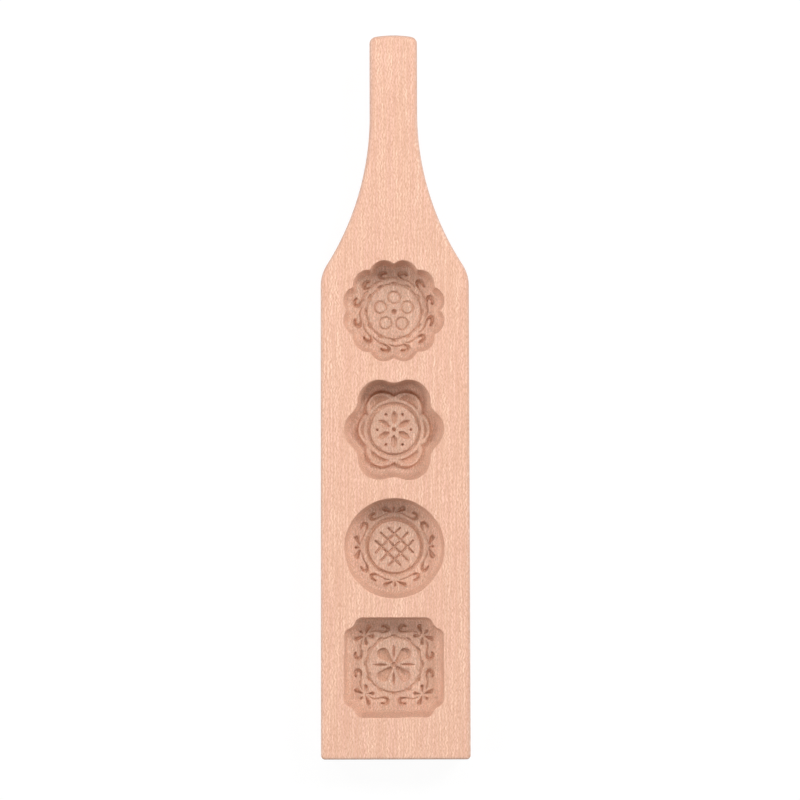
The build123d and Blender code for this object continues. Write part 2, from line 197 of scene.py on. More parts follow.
def smooth_line(values, steps=5):
    """Rows of values joined by a smooth curve."""
    values = np.asarray(values, dtype=float)
    ends = np.concatenate([[2 * values[0] - values[1]], values, [2 * values[-1] - values[-2]]])
    curve = []
    for a, b, c, d in zip(ends, ends[1:], ends[2:], ends[3:]):
        for t in np.linspace(0, 1, steps, endpoint=False):
            curve.append(
                b + 0.5 * t * (c - a + t * (2 * a - 5 * b + 4 * c - d + t * (3 * (b - c) + d - a)))
            )
    curve.append(values[-1])
    return np.array(curve)


def ring(at, radius, width, outer_slope=1.0):
    """Signed distance to a ring groove that starts at radius, less its slope on the outer side."""
    away = np.hypot(*at.T) - radius
    return np.maximum(-away, (away - width) * outer_slope)


def disc(at, radius, middle=(0.0, 0.0)):
    return np.hypot(*(at - np.asarray(middle)).T) - radius


def leaf(at, start, end, bow):
    """A leaf along X with two pointed ends, whose sides leave its axis at the angle bow."""
    half = (end - start) / 2
    radius = half / sin(bow)
    away = np.stack([at[:, 0] - (start + end) / 2, np.abs(at[:, 1])], axis=1)
    return disc(away, radius, (0.0, -radius * cos(bow)))


def drop(at, length, width):
    """A drop along X from a narrow root at the origin to a round end."""
    path = np.array([[0.0, 0.0], [length - width / 2, 0.0]])
    return stroke(at, path, [width * drop_root, width])


def turned(at, angle, origin=(0.0, 0.0)):
    """The points as seen from a frame at the origin, turned by angle."""
    away = at - np.asarray(origin)
    c, s = cos(angle), sin(angle)
    return np.stack([away[:, 0] * c + away[:, 1] * s, away[:, 1] * c - away[:, 0] * s], axis=1)


def mirrored(at):
    return at * np.array([1.0, -1.0])


def union(*distances):
    return np.minimum.reduce(distances)


def repeated(at, motif, count, start, slip=motif_slip, turn=motif_turn):
    """A motif in a ring, each time a little differently placed, as it is when cut by hand."""
    nearest = np.full(len(at), far_off)
    for index in range(count):
        angle = start + 2 * pi * index / count + rng.uniform(-turn, turn)
        nearest = np.minimum(nearest, motif(turned(at, angle, rng.uniform(-slip, slip, 2))))
    return nearest


def strayed(at, seed):
    """The points moved about a little, smoothly, so that carved lines stray."""
    waves = np.random.default_rng(seed)
    moved = at.copy()
    for axis in (0, 1):
        for length in wobble_lengths:
            way = ray(waves.uniform(0, 2 * pi)) * 2 * pi / length
            moved[:, axis] += wobble / 2 * np.sin(at @ way + waves.uniform(0, 2 * pi))
    return moved


# Ornaments. Each gives the signed distance to the pockets of one cavity's floor.
ring_land = 1.1  # plain ring between the ornament and the ring groove inside it
motif_margin = 2.3  # plain ring between a medallion's edge and its motif
drop_root = 0.4  # how wide a drop is at its root, as a share of its width
dash_count = 12
dash_length = 4.0
dash_width = 1.6
dash_distance = 1.35  # from the medallion's edge to the middle of a dash
dash_points = 9
dashed_ring_slope = 0.8  # of a dashed ring's far side, as a share of the near side


def dashed_ring(at, radius, width):
    """A ring groove widened by a ring of dashes."""
    middle = radius + dash_distance
    share = np.linspace(-1, 1, dash_points)
    angles = share * dash_length / 2 / middle
    path = middle * np.stack([np.cos(angles), np.sin(angles)], axis=1)
    widths = dash_width * np.sqrt(1 - share**2)
    dashes = repeated(at, lambda p: stroke(p, path, widths), dash_count, 0.0)
    core = disc(at, radius)
    return union(ring(at, radius, width, dashed_ring_slope), np.maximum(dashes, -core))


def polar_path(inner, outer, pitch, stations):
    """A path and its widths, from shares of the pitch and of the band between two radii."""
    curve = smooth_line(stations)
    radius = inner + (outer - inner) * curve[:, 1]
    angle = curve[:, 0] * pitch
    return np.stack([radius * np.cos(angle), radius * np.sin(angle)], axis=1), curve[:, 2]


def ring_radius_in_reach(reach, count, gap):
    """The radius of each of a ring of discs that fit inside the reach, with a gap between them."""
    half = sin(pi / count)
    return (reach * half - gap / 2) / (1 + half)


# Top cavity: running scrolls and a blossom
scallop_count = 12
scallop_stand_out = 0.8  # the scallops reach this far past the common cavity reach
scallop_radius = 7.5
scallop_notch_radius = 1.0
running_scroll_band = 6.0  # from the inner to the outer side of the ring of scrolls
scallop_ring_width = 1.4
blossom_petals = 5
blossom_petal_gap = 1.1
blossom_line_width = 1.4
blossom_heart_radius = 1.5
scroll_outer = ornament_reach + scallop_stand_out
scroll_inner = scroll_outer - running_scroll_band
scallop_medallion = scroll_inner - ring_land - scallop_ring_width
running_scroll = [
    # share of the pitch, share of the band, width
    (-0.90, 0.10, 0.6),
    (-0.66, 0.22, 1.0),
    (-0.42, 0.28, 1.2),
    (-0.18, 0.28, 1.3),
    (0.06, 0.32, 1.5),
    (0.19, 0.45, 2.0),
    (0.22, 0.62, 2.4),
    (0.14, 0.77, 2.5),
    (0.00, 0.80, 2.2),
    (-0.13, 0.72, 1.7),
]


def scallop_ornament(at):
    path, widths = polar_path(scroll_inner, scroll_outer, 2 * pi / scallop_count, running_scroll)
    reach = scallop_medallion - motif_margin
    radius = ring_radius_in_reach(reach, blossom_petals, blossom_petal_gap)
    middle = (reach - radius, 0.0)
    inner = radius - blossom_line_width

    def petal(p):
        return ring(p - middle, inner, blossom_line_width)

    return union(
        repeated(at, lambda p: stroke(p, path, widths), scallop_count, pi / scallop_count),
        dashed_ring(at, scallop_medallion, scallop_ring_width),
        repeated(at, petal, blossom_petals, pi / 2),
        disc(at, blossom_heart_radius),
    )


# Second cavity: crescents on the petals of a raised step, and a rosette
petal_radius = 10.8
petal_notch_radius = 9.0
petal_spread = 7.4  # from the centre line to the middle of an upper or lower petal
step_rise = 1.0  # the step's top stands this far above the floors of the other cavities
trough_depth = 2.8  # from the step's top down to the trough round it
trough_width = 1.3  # flat bottom of the trough beside a side petal of the step
trough_slant = 0.045  # how much deeper it was cut for each millimetre nearer the handle
petal_cove_radius = 4.2  # this cavity's wall meets its floor in a wider cove
step_cusp_depth = 1.9  # from the tip of a side petal of the step in to the cusps
step_end_stand_out = 1.95  # the upper and lower petals of the step reach this much further
step_petals = 6
step_heart = 0.8  # inside this share of the cusps' distance all of the step's petals count
crescent_border = 0.7  # wood between a crescent and the edge of the step
crescent_thickness = 2.2  # on the side petals
crescent_half_angle = radians(22.0)
petal_ring_width = 2.3
rosette_leaves = 6
rosette_leaf_bow = radians(49.0)  # between a leaf's side and its axis, at the tip
rosette_heart_radius = 1.3
rosette_heart_land = 1.0
rosette_dot_radius = 0.9
step_top_depth = cavity_depth - step_rise
petal_floor_depth = step_top_depth + trough_depth
petal_floor_reach = cavity_reach - petal_floor_depth * draft_slope - petal_cove_radius * cove_slope
step_side_tip = petal_floor_reach - trough_width
step_cusp = step_side_tip - step_cusp_depth
crescent_inner = step_side_tip - crescent_border - crescent_thickness
petal_medallion = crescent_inner - ring_land - petal_ring_width


def step_tip(index):
    return step_side_tip + (step_end_stand_out if index % 3 else 0.0)


def three_point_disc(at, end, tip, angle):
    """Signed distance to a turned disc, through an end, its mirror image and a tip on X."""
    x, y = end
    middle = (x**2 + y**2 - tip**2) / (2 * (x - tip))
    return disc(turned(at, angle), tip - middle, (middle, 0.0))


def step_outline(at):
    """Signed distance to the raised step: the union of its six petals."""
    cusp = step_cusp * ray(pi / step_petals)
    petals = [
        three_point_disc(at, cusp, step_tip(index), 2 * pi * index / step_petals)
        for index in range(step_petals)
    ]
    nearest = union(*petals)
    sector = np.round(np.arctan2(at[:, 1], at[:, 0]) / (2 * pi / step_petals)).astype(int)
    own = np.choose(sector % step_petals, petals)
    middle = disc(at, step_cusp)
    inner = np.hypot(*at.T) < step_cusp * step_heart
    return np.where(inner, np.minimum(nearest, middle), own)


def petal_ornament(at):
    start = crescent_inner * ray(crescent_half_angle)
    crescents = []
    for index in range(step_petals):
        angle = 2 * pi * index / step_petals + rng.uniform(-motif_turn, motif_turn)
        outer = three_point_disc(at, start, step_tip(index) - crescent_border, angle)
        crescents.append(np.maximum(outer * gentle, -disc(at, crescent_inner)))
    reach = petal_medallion - motif_margin
    leaf_start = rosette_heart_radius + rosette_heart_land
    dot_middle = (reach - rosette_dot_radius, 0.0)

    def rosette_leaf(p):
        return leaf(p, leaf_start, reach, rosette_leaf_bow)

    return union(
        *crescents,
        ring(at, petal_medallion, petal_ring_width, gentle),
        repeated(at, rosette_leaf, rosette_leaves, pi / 2),
        repeated(at, lambda p: disc(p, rosette_dot_radius, dot_middle), rosette_leaves, 0.0),
        disc(at, rosette_heart_radius),
    )


# Third cavity: bows and a lattice
bow_count = 4
bow_band = 4.5  # from the inner to the outer side of the ring of bows
bow_petal_width = 2.8
bow_petal_angle = radians(13.7)  # from the bow's axis to a petal's round end
bow_petal_spread = 1.4  # from the bow's axis to the root of a petal
bow_petal_root = 1.25  # from the inner side of the band to the root of a petal
bow_petal_stand_out = 0.35  # the petals reach this far past the band
bow_drop_length = 2.8
bow_drop_width = 1.7
bow_drop_root = 1.2  # from the inner side of the band to the root of the drop
round_ring_width = 2.5
lattice_pitch = 4.6
lattice_bar_width = 1.5
bow_inner = ornament_reach - bow_band
round_medallion = bow_inner - ring_land - round_ring_width
bow_scroll = [
    # share of the pitch, share of the band, width
    (0.08, 0.17, 0.6),
    (0.14, 0.14, 0.8),
    (0.21, 0.10, 0.9),
    (0.29, 0.06, 1.0),
    (0.36, 0.10, 1.4),
    (0.42, 0.26, 1.9),
    (0.44, 0.50, 2.1),
    (0.42, 0.70, 2.0),
    (0.375, 0.78, 1.7),
    (0.335, 0.72, 1.4),
]


def round_ornament(at):
    path, widths = polar_path(bow_inner, ornament_reach, 2 * pi / bow_count, bow_scroll)
    petal_start = np.array([bow_inner + bow_petal_root, bow_petal_spread])
    petal_end = (ornament_reach + bow_petal_stand_out - bow_petal_width / 2) * ray(bow_petal_angle)
    petal = np.array([petal_start, petal_end])
    petal_widths = [bow_petal_width * drop_root, bow_petal_width]
    drop_start = np.array([bow_inner + bow_drop_root, 0.0])

    def bow(p):
        parts = [drop(p - drop_start, bow_drop_length, bow_drop_width)]
        for half in (p, mirrored(p)):
            parts.append(stroke(half, path, widths))
            parts.append(stroke(half, petal, petal_widths))
        return union(*parts)

    reach = round_medallion - motif_margin
    side_bars = int((reach - lattice_bar_width) / lattice_pitch)
    bars = []
    for index in range(-side_bars, side_bars + 1):
        aside = index * lattice_pitch
        half = sqrt(reach**2 - aside**2) - lattice_bar_width / 2
        for slant in (pi / 4, -pi / 4):
            slip = rng.uniform(-motif_slip, motif_slip)
            bar = np.array([[-half, aside + slip], [half, aside - slip]])
            bars.append(stroke(turned(at, slant), bar, [lattice_bar_width, lattice_bar_width]))
    return union(
        ring(at, round_medallion, round_ring_width, gentle),
        repeated(at, bow, bow_count, pi / 2),
        *bars,
    )


# Bottom cavity: side scrolls, corner flowers and a quatrefoil
corner_radius = 4.2
corner_bite_radius = 5.0
corner_bite_depth = 6.3  # from the sharp corner in to the bottom of the bite
flower_margin = 6.5  # from the foot of the cove in to the middle of a corner flower
flower_heart_radius = 1.3
flower_ring_gap = 0.1  # a flower's middle lies this far outside the ring groove's side
square_ring_width = 1.3
quatrefoil_petals = 4
quatrefoil_petal_gap = 5.2
quatrefoil_leaf_bow = radians(24.0)
quatrefoil_heart_radius = 1.6
quatrefoil_heart_land = 0.9
flower_reach = floor_reach - flower_margin
square_medallion = flower_reach - flower_ring_gap - square_ring_width
side_scroll = [
    # along the side, share of the band, width: the first and last as shares of the flowers' reach
    (0.85, 0.23, 0.045),
    (0.74, 0.35, 0.070),
    (0.63, 0.40, 0.085),
    (0.50, 0.37, 0.090),
    (0.365, 0.31, 0.100),
    (0.245, 0.38, 0.130),
    (0.200, 0.57, 0.155),
    (0.24, 0.76, 0.150),
    (0.325, 0.84, 0.125),
    (0.40, 0.78, 0.105),
]
flower_drops = [
    # angle from the cavity's diagonal, length, width
    (0.0, 2.6, 1.7),
    (radians(66.0), 4.9, 2.6),
    (radians(-66.0), 4.9, 2.6),
    (radians(141.0), 3.8, 2.3),
    (radians(-141.0), 3.8, 2.3),
]


def square_ornament(at):
    curve = smooth_line(side_scroll)
    path = np.stack(
        [flower_reach + (ornament_reach - flower_reach) * curve[:, 1], curve[:, 0] * flower_reach],
        axis=1,
    )
    widths = curve[:, 2] * flower_reach
    flower_middle = np.array([flower_reach * sqrt(2), 0.0])

    def scrolls(p):
        return union(stroke(p, path, widths), stroke(mirrored(p), path, widths))

    def flower(p):
        drops = []
        for angle, length, width in flower_drops:
            root = flower_middle + flower_heart_radius * ray(angle)
            drops.append(drop(turned(p, angle, root), length, width))
        return union(*drops)

    reach = square_medallion - motif_margin
    petal_root = quatrefoil_heart_radius + quatrefoil_heart_land
    petal_width = 2 * ring_radius_in_reach(reach, quatrefoil_petals, quatrefoil_petal_gap)

    def petal(p):
        return drop(p - np.array([petal_root, 0.0]), reach - petal_root, petal_width)

    def between(p):
        return leaf(p, petal_root, reach, quatrefoil_leaf_bow)

    return union(
        dashed_ring(at, square_medallion, square_ring_width),
        repeated(at, scrolls, 4, 0.0),
        repeated(at, flower, 4, pi / 4),
        repeated(at, petal, quatrefoil_petals, pi / 4),
        repeated(at, between, quatrefoil_petals, 0.0),
        disc(at, quatrefoil_heart_radius),
    )


# Outlines of the cavities at their rims
def lobed(middles, lobe_radius, notch_radius):
    """A ring of round lobes joined by round notches, anticlockwise."""
    middles = [np.asarray(middle) for middle in middles]
    notches = []
    for first, second in zip(middles, middles[1:] + middles[:1]):
        apart = second - first
        half = np.linalg.norm(apart) / 2
        outwards = np.array([apart[1], -apart[0]]) / (2 * half)
        rise = sqrt((lobe_radius + notch_radius) ** 2 - half**2)
        notches.append(first + apart / 2 + outwards * rise)
    pieces = []
    foot_notch = notch_radius + cavity_depth * draft_slope + cove_run
    for index, middle in enumerate(middles):
        notch = notches[index]
        following = middles[(index + 1) % len(middles)]
        start = direction(middle, notches[index - 1])
        end = after(direction(middle, notch), start)
        pieces.append(arc(middle, lobe_radius, start, end))
        end = direction(notch, following)
        start = after(direction(notch, middle), end)
        pieces.append(arc(notch, notch_radius, start, end, hollow=True, widest=foot_notch))
    return joined(pieces)


def scallops():
    distance = cavity_reach + scallop_stand_out - scallop_radius
    pitch = 2 * pi / scallop_count
    middles = [distance * ray((index + 0.5) * pitch) for index in range(scallop_count)]
    return lobed(middles, scallop_radius, scallop_notch_radius)


def petals():
    distance = cavity_reach - petal_radius
    middles = [
        (distance, 0.0),
        (petal_spread, distance),
        (-petal_spread, distance),
        (-distance, 0.0),
        (-petal_spread, -distance),
        (petal_spread, -distance),
    ]
    return lobed(middles, petal_radius, petal_notch_radius)


def circle():
    return arc(np.zeros(2), cavity_reach, 0.0, 2 * pi)


def bitten_square():
    bite_at = cavity_reach - (corner_bite_depth - corner_bite_radius) / sqrt(2)
    across = cavity_reach - corner_radius
    along = bite_at - sqrt((corner_radius + corner_bite_radius) ** 2 - (bite_at - across) ** 2)
    widest = corner_bite_radius + cavity_depth * draft_slope + cove_run
    pieces = []
    for quarter in range(4):
        turn = quarter * pi / 2
        matrix = np.array([[cos(turn), -sin(turn)], [sin(turn), cos(turn)]])
        first = matrix @ [across, along]
        second = matrix @ [along, across]
        bite = matrix @ [bite_at, bite_at]
        side_start = matrix @ [cavity_reach, -along]
        side_end = matrix @ [cavity_reach, along]
        first_end = after(direction(first, bite), turn)
        second_start = after(direction(second, bite), turn)
        bite_end = direction(bite, second)
        bite_start = after(direction(bite, first), bite_end)
        pieces.append(line(side_start, side_end))
        pieces.append(arc(first, corner_radius, turn, first_end))
        pieces.append(arc(bite, corner_bite_radius, bite_start, bite_end, True, widest))
        pieces.append(arc(second, corner_radius, second_start, turn + pi / 2))
    return joined(pieces)


def half_outline(side):
    """The board and handle up one side, from the middle of the foot to the middle of the end."""
    grip = handle_width / 2 + side * centre_line_shift
    turn = acos(1 - (shoulder_width / 2 - grip) / (neck_radius + shoulder_radius))
    rise = (neck_radius + shoulder_radius) * sin(turn)
    corner = np.array([board_width / 2 - foot_corner_radius, foot_y + foot_corner_radius])
    shoulder = np.array([shoulder_width / 2 - shoulder_radius, shoulder_y])
    neck = np.array([grip + neck_radius, shoulder_y + rise])
    middle_x = side * centre_line_shift
    half_width = handle_width / 2
    dome_radius = (half_width**2 + handle_end_bulge**2) / (2 * handle_end_bulge)
    dome = np.array([middle_x, handle_end_y - dome_radius])
    inside = half_width - handle_corner_radius
    end_rise = sqrt((dome_radius - handle_corner_radius) ** 2 - inside**2)
    end_corner = dome + [inside, end_rise]
    end_turn = atan2(end_rise, inside)
    side_start = np.array([board_width / 2, corner[1]])
    side_end = np.array([shoulder_width / 2, shoulder_y])
    pieces = [
        line(np.array([0.0, foot_y]), np.array([corner[0], foot_y]), long_side_spacing),
        arc(corner, foot_corner_radius, -pi / 2, 0.0),
        line(side_start, side_end, long_side_spacing),
        arc(shoulder, shoulder_radius, 0.0, turn),
        arc(neck, neck_radius, pi + turn, pi, hollow=True),
        line(np.array([grip, neck[1]]), np.array([grip, end_corner[1]]), grip_spacing),
        arc(end_corner, handle_corner_radius, 0.0, end_turn),
        arc(dome, dome_radius, end_turn, pi / 2),
    ]
    points, inwards = joined(pieces)
    flip = np.array([side, 1.0])
    return points * flip, inwards * flip


def board_outline():
    right, right_inwards = half_outline(1)
    left, left_inwards = half_outline(-1)
    top = np.array([[centre_line_shift, handle_end_y]])
    down = np.array([[0.0, -1.0]])
    points = np.concatenate([right, top, left[:0:-1]])
    inwards = np.concatenate([right_inwards, down, left_inwards[:0:-1]])
    return points, inwards


# The mesh: rows of points that follow the outlines, and triangles on the flats between them
vertices = []
faces = []
carved = []  # how far each vertex is down in a cavity, from 0 to 1
pocket_shade = []  # how strongly painted shade darkens it: how far down it is in a pocket of the relief, or how near the foot of the raised step in the trough
insets = []  # how far it is in from a cavity's rim, in millimetres
side_shade = []  # how strongly painted shade darkens it: 1 on the board's sides, less over the rounded edge, 0 on its face and in the cavities


def add_row(points, depth, pocket_shade_share=0.0, inset=0.0, on_side=0.0):
    """Adds points at a depth under the face, and returns their numbers."""
    count = len(points)
    depth = np.broadcast_to(depth, count)
    first = len(vertices)
    vertices.extend(zip(points[:, 0], points[:, 1], thickness - depth))
    on_side = np.broadcast_to(on_side, count)
    carved.extend(np.clip(depth / cavity_depth, 0, 1) * (on_side == 0))
    pocket_shade.extend(np.broadcast_to(pocket_shade_share, count))
    insets.extend(np.broadcast_to(inset, count))
    side_shade.extend(on_side)
    return list(range(first, len(vertices)))


def bridge(outer, inner):
    """Quads between two closed rows."""
    faces.extend(zip(outer, outer[1:] + outer[:1], inner[1:] + inner[:1], inner))


def flat_points(numbers):
    """Where the numbered vertices are, seen from above."""
    return np.array([vertices[number][:2] for number in numbers])


def inside_loop(points, loop):
    """Which points are inside a closed loop."""
    inside = np.zeros(len(points), dtype=bool)
    for a, b in zip(loop, np.roll(loop, -1, axis=0)):
        crosses = (a[1] > points[:, 1]) != (b[1] > points[:, 1])
        if crosses.any():
            at_x = a[0] + (points[:, 1] - a[1]) / (b[1] - a[1]) * (b[0] - a[0])
            inside ^= crosses & (points[:, 0] < at_x)
    return inside


def clearance(points, loop):
    """Distance from each point to the nearest corner of a loop."""
    nearest = np.full(len(points), np.inf)
    for corner in loop:
        nearest = np.minimum(nearest, np.hypot(*(points - corner).T))
    return nearest


def fill(loops, extra, downwards=False):
    """Triangles between the first loop and the others, through the extra vertices."""
    numbers = [number for loop in loops for number in loop] + list(extra)
    flat = [Vector(vertices[number][:2]) for number in numbers]
    edges = []
    start = 0
    for loop in loops:
        edges.extend((start + i, start + (i + 1) % len(loop)) for i in range(len(loop)))
        start += len(loop)
    result = delaunay_2d_cdt(flat, edges, [], 1, merging_distance)
    points, _, triangles, origins, _, _ = result
    names = [numbers[origin[0]] for origin in origins]
    middles = np.array([sum((points[i] for i in t), Vector((0, 0))) / 3 for t in triangles])
    keep = np.ones(len(triangles), dtype=bool)
    for hole in loops[1:]:
        keep &= ~inside_loop(middles, flat_points(hole))
    for triangle, kept in zip(triangles, keep):
        if kept:
            corners = [names[i] for i in triangle]
            faces.append(tuple(reversed(corners)) if downwards else tuple(corners))


def hex_points(low, high, spacing):
    """Points in even rows over a rectangle, each a spacing away from its six neighbours."""
    rows = np.arange(low[1], high[1], spacing * sqrt(3) / 2)
    points = []
    for index, y in enumerate(rows):
        x = np.arange(low[0] + (index % 2) * spacing / 2, high[0], spacing)
        points.append(np.stack([x, np.full(len(x), y)], axis=1))
    return np.concatenate(points)


class Thinned:
    """Takes points one group after another, and only those that have room."""

    def __init__(self, cell):
        self.cell = cell
        self.cells = {}
        self.taken = []

    def is_free(self, x, y, room):
        reach = ceil(room / self.cell)
        for column in range(int(x // self.cell) - reach, int(x // self.cell) + reach + 1):
            for row in range(int(y // self.cell) - reach, int(y // self.cell) + reach + 1):
                for other_x, other_y in self.cells.get((column, row), ()):
                    if (other_x - x) ** 2 + (other_y - y) ** 2 < room**2:
                        return False
        return True

    def take(self, points, room):
        for x, y in points.tolist():
            if self.is_free(x, y, room):
                cell = (int(x // self.cell), int(y // self.cell))
                self.cells.setdefault(cell, []).append((x, y))
                self.taken.append((x, y))


def level_points(field, level, axis_points):
    """Where a field on a square grid crosses a level."""
    shifted = field - level
    found = []
    for values in (shifted, shifted.T):
        row, column = np.nonzero(values[:, :-1] * values[:, 1:] < 0)
        here, there = values[row, column], values[row, column + 1]
        along = axis_points[column] + here / (here - there) * grid_step
        pair = [along, axis_points[row]]
        found.append(np.stack(pair if values is shifted else pair[::-1], axis=1))
    return np.concatenate(found)


def fall(distance, run):
    """How far a slope has fallen, as a share of its depth: steep at first, then levelling out."""
    return np.sin(np.clip(distance / run, 0, 1) * pi / 2)


def wall_profile(depth, cove):
    """A wall's stations from the face to the floor: how far in from the rim, and how far down."""
    turn = pi / 2 - wall_draft
    rim_middle = rim_softness * tan(turn / 2)
    stations = []
    for angle in np.linspace(0, turn, rim_rows):
        stations.append((rim_softness * sin(angle) - rim_middle, rim_softness * (1 - cos(angle))))
    wall_start = stations[-1][1]
    wall_end = depth - cove + cove * sin(wall_draft)
    for share in wall_row_shares:
        down = wall_start + (wall_end - wall_start) * share
        stations.append((down * draft_slope, down))
    cove_middle = depth * draft_slope + cove * cove_slope
    for angle in np.linspace(wall_draft, pi / 2, ceil(cove / cove_row_spacing)):
        stations.append((cove_middle - cove * cos(angle), depth - cove + cove * sin(angle)))
    return stations


def floor_points(foot_points, lines, pockets):
    """Points for a cavity's floor: close together along its relief's lines, few on its flats."""
    reach = np.abs(foot_points).max() + grid_margin
    axis_points = np.arange(-reach, reach, grid_step)
    grid = np.stack(np.meshgrid(axis_points, axis_points), axis=-1).reshape(-1, 2)
    size = len(axis_points)
    thinned = Thinned(foot_clearance)
    thinned.take(foot_points, foot_room)
    for distance, levels, room in lines:
        field = distance(grid).reshape(size, size)
        for level in levels:
            thinned.take(level_points(field, level, axis_points), room)
    fine = hex_points((-reach, -reach), (reach, reach), pocket_spacing)
    thinned.take(fine[pockets(fine) < 0], pocket_spacing * pocket_room)
    coarse = hex_points((-reach, -reach), (reach, reach), floor_spacing)
    thinned.take(coarse, floor_spacing * floor_room)
    inner = np.array(thinned.taken[len(foot_points) :])
    inner = inner[inside_loop(inner, foot_points)]
    return inner[clearance(inner, foot_points) > foot_clearance]


def carve(
    outline, ornament, middle, seed, depth=cavity_depth, cove=cove_radius, slant=0.0, step=False
):
    """One cavity: its rim, wall and cove in rows, then its floor. Returns the row on the face."""
    points, inwards = outline()
    points = points + middle
    around = np.arctan2(*(points - middle).T)
    waves = np.random.default_rng(seed)
    stray = wall_wobble * sum(np.sin(k * around + waves.uniform(0, 2 * pi)) for k in wall_waves)

    def step_edge(at):
        return step_outline(strayed(at, seed))

    def step_surface(at):
        down = depth + slant * at[:, 1] - step_top_depth
        return step_top_depth + down * fall(step_edge(at), step_run)

    profile = wall_profile(depth, cove)
    rows = [add_row(points + inwards * (profile[0][0] - flat_strip), 0.0)]
    for inset, down in profile:
        row = points + inwards * (inset + stray * (down > stray_start))[:, None]
        surface = down * (1 + slant / depth * (row - middle)[:, 1])
        if step:
            surface = np.minimum(surface, step_surface(row - middle))
        rows.append(add_row(row, surface, inset=inset + down))
    for outer, inner in zip(rows, rows[1:]):
        bridge(outer, inner)

    foot = rows[-1]
    foot_points = flat_points(foot) - middle
    motifs = rng.bit_generator.state

    def pockets(at):
        """The signed distance to the relief's pockets, with its motifs placed alike each time."""
        rng.bit_generator.state = motifs
        return ornament(strayed(at, seed))

    lines = [(pockets, pocket_levels, line_spacing * line_room)]
    if step:
        lines.append((step_edge, step_levels, line_spacing))
    inner = floor_points(foot_points, lines, pockets)
    down = fall(-pockets(inner), pocket_run)
    floor = depth
    # Painted shade follows the pockets' depth, and beside the raised step it also darkens the
    # trough
    tone = down
    if step:
        floor = step_surface(inner)
        beside = step_outline(inner)
        tone = np.maximum(down, np.clip(1 - beside / trough_shade_reach, 0, 1) * (beside > 0))
    deepest = pocket_depth * (1 + depth_waver * np.sin(inner @ depth_waver_way + seed))
    extra = add_row(inner + middle, floor + deepest * down, tone, inset=sum(profile[-1]))
    fill([foot], extra)
    return rows[0]


def edge_radius(y):
    """The outer edges' radius, which grows at the shoulder from the board's to the handle's."""
    share = np.clip((y - shoulder_y + edge_change_start) / edge_change_length, 0, 1)
    share = share * share * (3 - 2 * share)
    return board_edge_radius + (handle_edge_radius - board_edge_radius) * share


def add_back_and_sides():
    """The flat back, the sides and their rounded edges. Returns the row on the face."""
    points, inwards = board_outline()
    radius = edge_radius(points[:, 1])[:, None]
    turns = np.linspace(0, pi / 2, edge_rows)
    rows = []
    for turn in turns:
        down = thickness - radius[:, 0] * (1 - cos(turn))
        rows.append(add_row(points + inwards * radius * (1 - sin(turn)), down, on_side=1.0))
    for turn in turns:
        down = radius[:, 0] * (1 - sin(turn))
        # painted shade on the rounded edge, fading out towards the face
        tone = np.clip(1 - radius[:, 0] * (1 - cos(turn)) / side_shade_reach, 0, 1)
        rows.append(add_row(points + inwards * radius * (1 - cos(turn)), down, on_side=tone))
    rows.append(add_row(points + inwards * (radius + flat_strip), 0.0))
    for outer, inner in zip(rows, rows[1:]):
        bridge(outer, inner)
    fill([rows[0]], [], downwards=True)
    return rows[-1]


def add_cavities():
    """All four cavities, from the foot to the handle. Returns their rows on the face."""
    rims = []
    stepped = {
        "depth": petal_floor_depth,
        "cove": petal_cove_radius,
        "slant": trough_slant,
        "step": True,
    }
    cavities = [
        (bitten_square, square_ornament, square_slip, {}),
        (circle, round_ornament, round_slip, {}),
        (petals, petal_ornament, (0.0, 0.0), stepped),
        (scallops, scallop_ornament, (0.0, 0.0), {}),
    ]
    for index, (outline, ornament, slip, others) in enumerate(cavities):
        middle = np.array([centre_line_shift, foot_y + first_cavity + index * cavity_pitch]) + slip
        rims.append(carve(outline, ornament, middle, first_cavity_seed + index, **others))
    return rims


def add_face(edge, rims):
    """The flat face between the board's edge and the cavities' rims."""
    outline = board_outline()[0]
    face = hex_points(outline.min(axis=0), outline.max(axis=0), face_spacing)
    loop = flat_points(edge)
    keep = inside_loop(face, loop) & (clearance(face, loop) > face_spacing * edge_room)
    for rim in rims:
        loop = flat_points(rim)
        keep &= ~inside_loop(face, loop) & (clearance(face, loop) > face_spacing * rim_room)
    fill([edge, *rims], add_row(face[keep], 0.0))


face_edge = add_back_and_sides()
add_face(face_edge, add_cavities())
mesh = bpy.data.meshes.new("carved_board")
mesh.from_pydata([tuple(value * MM for value in vertex) for vertex in vertices], [], faces)
mesh.polygons.foreach_set("use_smooth", [True] * len(mesh.polygons))
attributes = {"carved": carved, "pocket_shade": pocket_shade, "inset": insets, "side_shade": side_shade}
for name, values in attributes.items():
    mesh.attributes.new(name, "FLOAT", "POINT").data.foreach_set("value", values)
mesh.validate()
mesh.update()
board = bpy.data.objects.new("carved_board", mesh)
bpy.context.scene.collection.objects.link(board)
print("board:", len(mesh.vertices), "vertices,", len(mesh.polygons), "faces")


